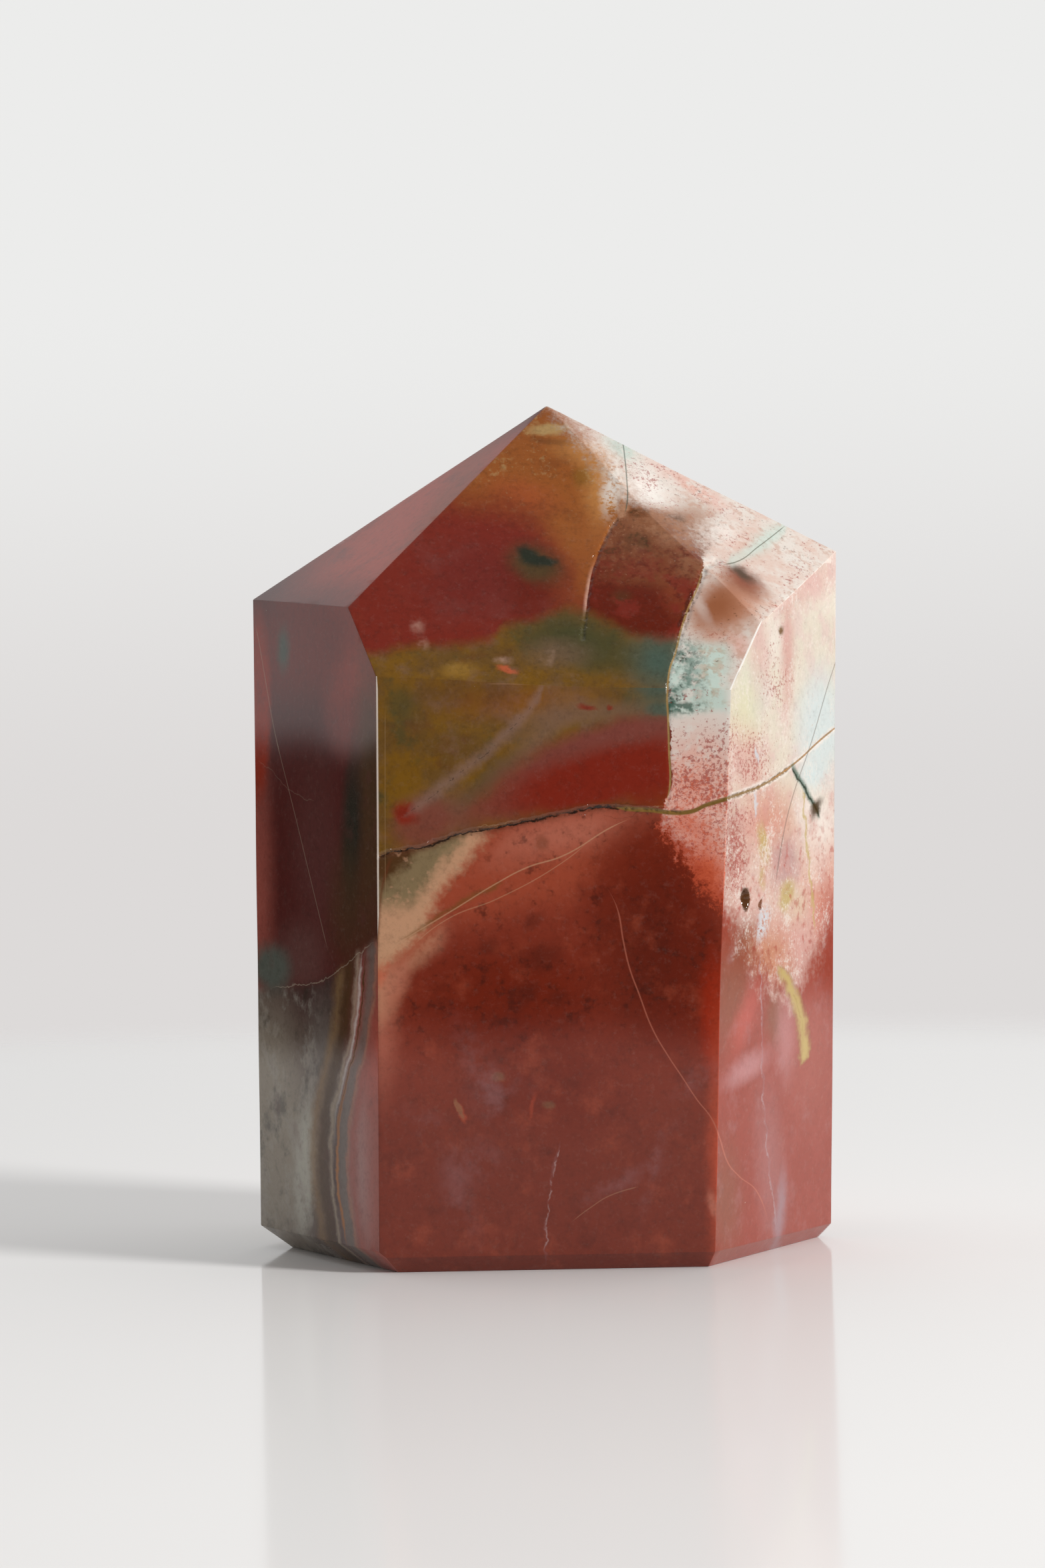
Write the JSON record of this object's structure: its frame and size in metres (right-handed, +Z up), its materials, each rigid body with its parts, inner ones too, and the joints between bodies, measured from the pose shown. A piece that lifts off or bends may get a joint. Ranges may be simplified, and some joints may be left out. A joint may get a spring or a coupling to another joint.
{
  "type": "polished stone tower",
  "caption": "Free-standing polished jasper tower: flat sides, a roof of facets that meet in a tip, and a bevelled flat base.",
  "frame": {"origin": "on the base plane, under the middle of the stone's box", "axes": "+Z up through the stone, -Y out of the widest side (the front), +X to the right of the front"},
  "size_m": [0.0562, 0.0386, 0.08],
  "materials": {
    "jasper": "polished"
  },
  "bodies": {
    "root": {"tower": "jasper"}
  },
  "joints": []
}
